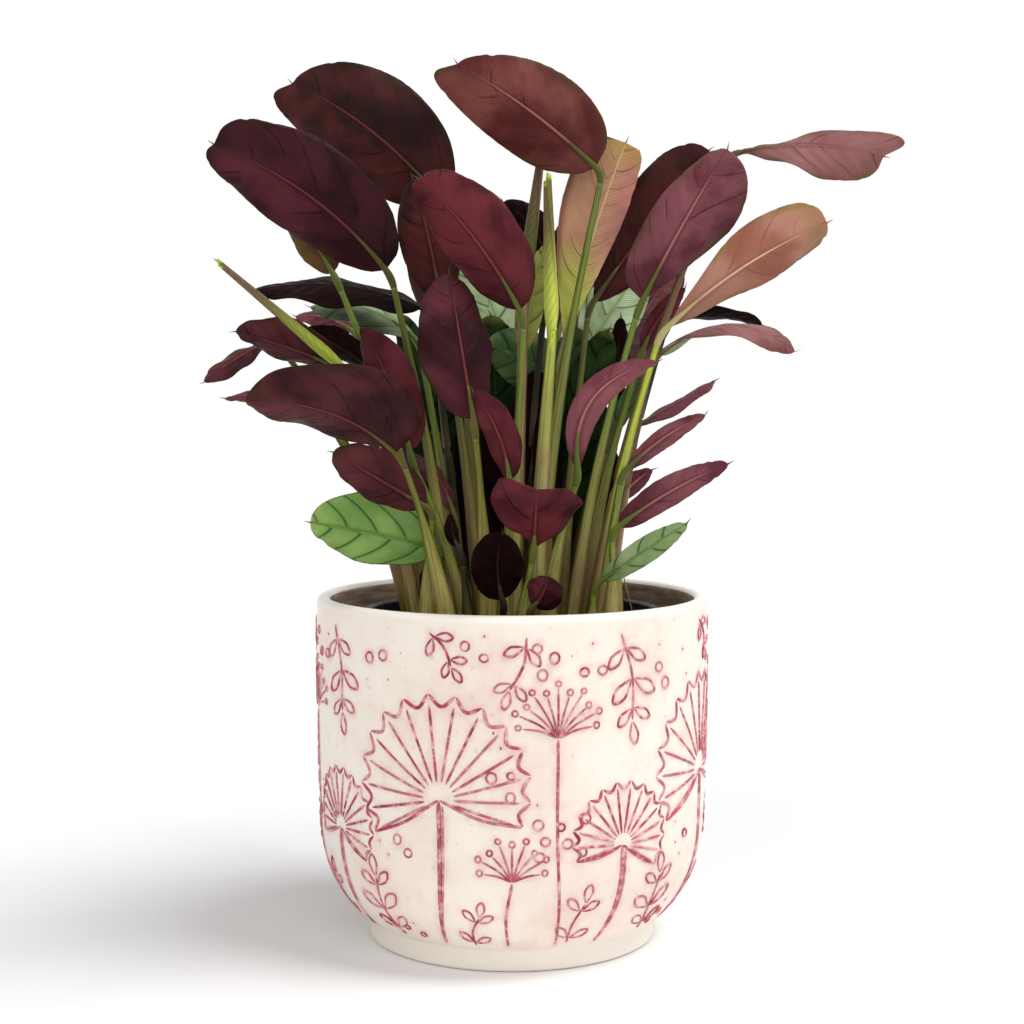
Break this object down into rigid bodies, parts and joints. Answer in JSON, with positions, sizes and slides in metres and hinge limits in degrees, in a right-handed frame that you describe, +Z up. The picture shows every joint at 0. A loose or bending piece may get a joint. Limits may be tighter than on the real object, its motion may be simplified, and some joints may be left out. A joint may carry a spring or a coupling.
{
  "type": "potted ctenanthe",
  "caption": "Leafy prayer-plant relative with wine-purple leaf undersides, in its growing pot inside a round cream ceramic planter with a floral relief.",
  "frame": {"origin": "middle of the planter's foot, on the surface that it stands on", "axes": "+Z up through the plant; -Y is the front, the side that most leaf undersides face; +X to the right seen from the front"},
  "size_m": [0.3019, 0.2131, 0.3927],
  "materials": {
    "glaze": "glossy cream glaze with rose-washed relief lines",
    "black_plastic": "thin black moulded plastic",
    "soil": "dark moist peat potting soil",
    "leaf_wine": "satin wine-purple leaf underside, olive-green upper face",
    "leaf_olive": "satin olive-brown leaf",
    "leaf_orange": "satin young orange-brown leaf",
    "leaf_salmon": "satin new salmon to lime leaf",
    "leaf_green": "satin sage-green upper leaf face with dark bands",
    "leaf_lime": "satin lime rolled leaf and stem",
    "leaf_brown": "satin brown-olive rolled leaf"
  },
  "bodies": {
    "root": {"pot": "glaze", "nursery_pot": "black_plastic", "soil": "soil", "leaf_left_outer": "leaf_wine", "leaf_left_top": "leaf_wine", "leaf_centre_left": "leaf_wine", "leaf_centre_upright": "leaf_wine", "leaf_left_behind": "leaf_wine", "leaf_left_olive": "leaf_olive", "leaf_left_edgewise": "leaf_wine", "leaf_left_green": "leaf_green", "leaf_left_wine": "leaf_wine", "leaf_left_small": "leaf_wine", "leaf_left_far": "leaf_wine", "leaf_left_dark": "leaf_wine", "leaf_left_broad": "leaf_wine", "leaf_left_narrow": "leaf_wine", "leaf_left_red": "leaf_wine", "leaf_left_lower": "leaf_wine", "leaf_left_pale_green": "leaf_green", "leaf_left_curled": "leaf_wine", "leaf_low_sliver": "leaf_wine", "leaf_low_left": "leaf_wine", "leaf_centre_red": "leaf_wine", "leaf_front_cupped": "leaf_wine", "leaf_front_round": "leaf_wine", "leaf_front_small": "leaf_wine", "leaf_top_crown": "leaf_wine", "leaf_new_salmon": "leaf_salmon", "leaf_centre_dark": "leaf_wine", "leaf_right_behind": "leaf_wine", "leaf_right_purple": "leaf_wine", "leaf_right_orange": "leaf_orange", "leaf_right_high": "leaf_wine", "leaf_right_drooping": "leaf_wine", "leaf_right_edgewise": "leaf_wine", "leaf_right_slim": "leaf_wine", "leaf_right_curved": "leaf_wine", "leaf_right_narrow": "leaf_wine", "leaf_right_lance": "leaf_wine", "leaf_right_low": "leaf_wine", "leaf_right_stub": "leaf_wine", "leaf_right_pale_green": "leaf_green", "leaf_inner_pale": "leaf_green", "leaf_inner_yellow": "leaf_lime", "leaf_inner_round": "leaf_green", "leaf_inner_mint": "leaf_green", "leaf_inner_mid": "leaf_green", "leaf_inner_slim": "leaf_green", "leaf_inner_olive": "leaf_olive", "leaf_inner_shade": "leaf_green", "leaf_inner_wine": "leaf_wine", "leaf_inner_plum": "leaf_wine", "leaf_back_left": "leaf_wine", "leaf_back_centre": "leaf_wine", "leaf_back_right": "leaf_wine", "leaf_back_low": "leaf_wine", "spear_left": "leaf_olive", "spear_lime": "leaf_lime", "spear_brown": "leaf_brown"}
  },
  "joints": []
}
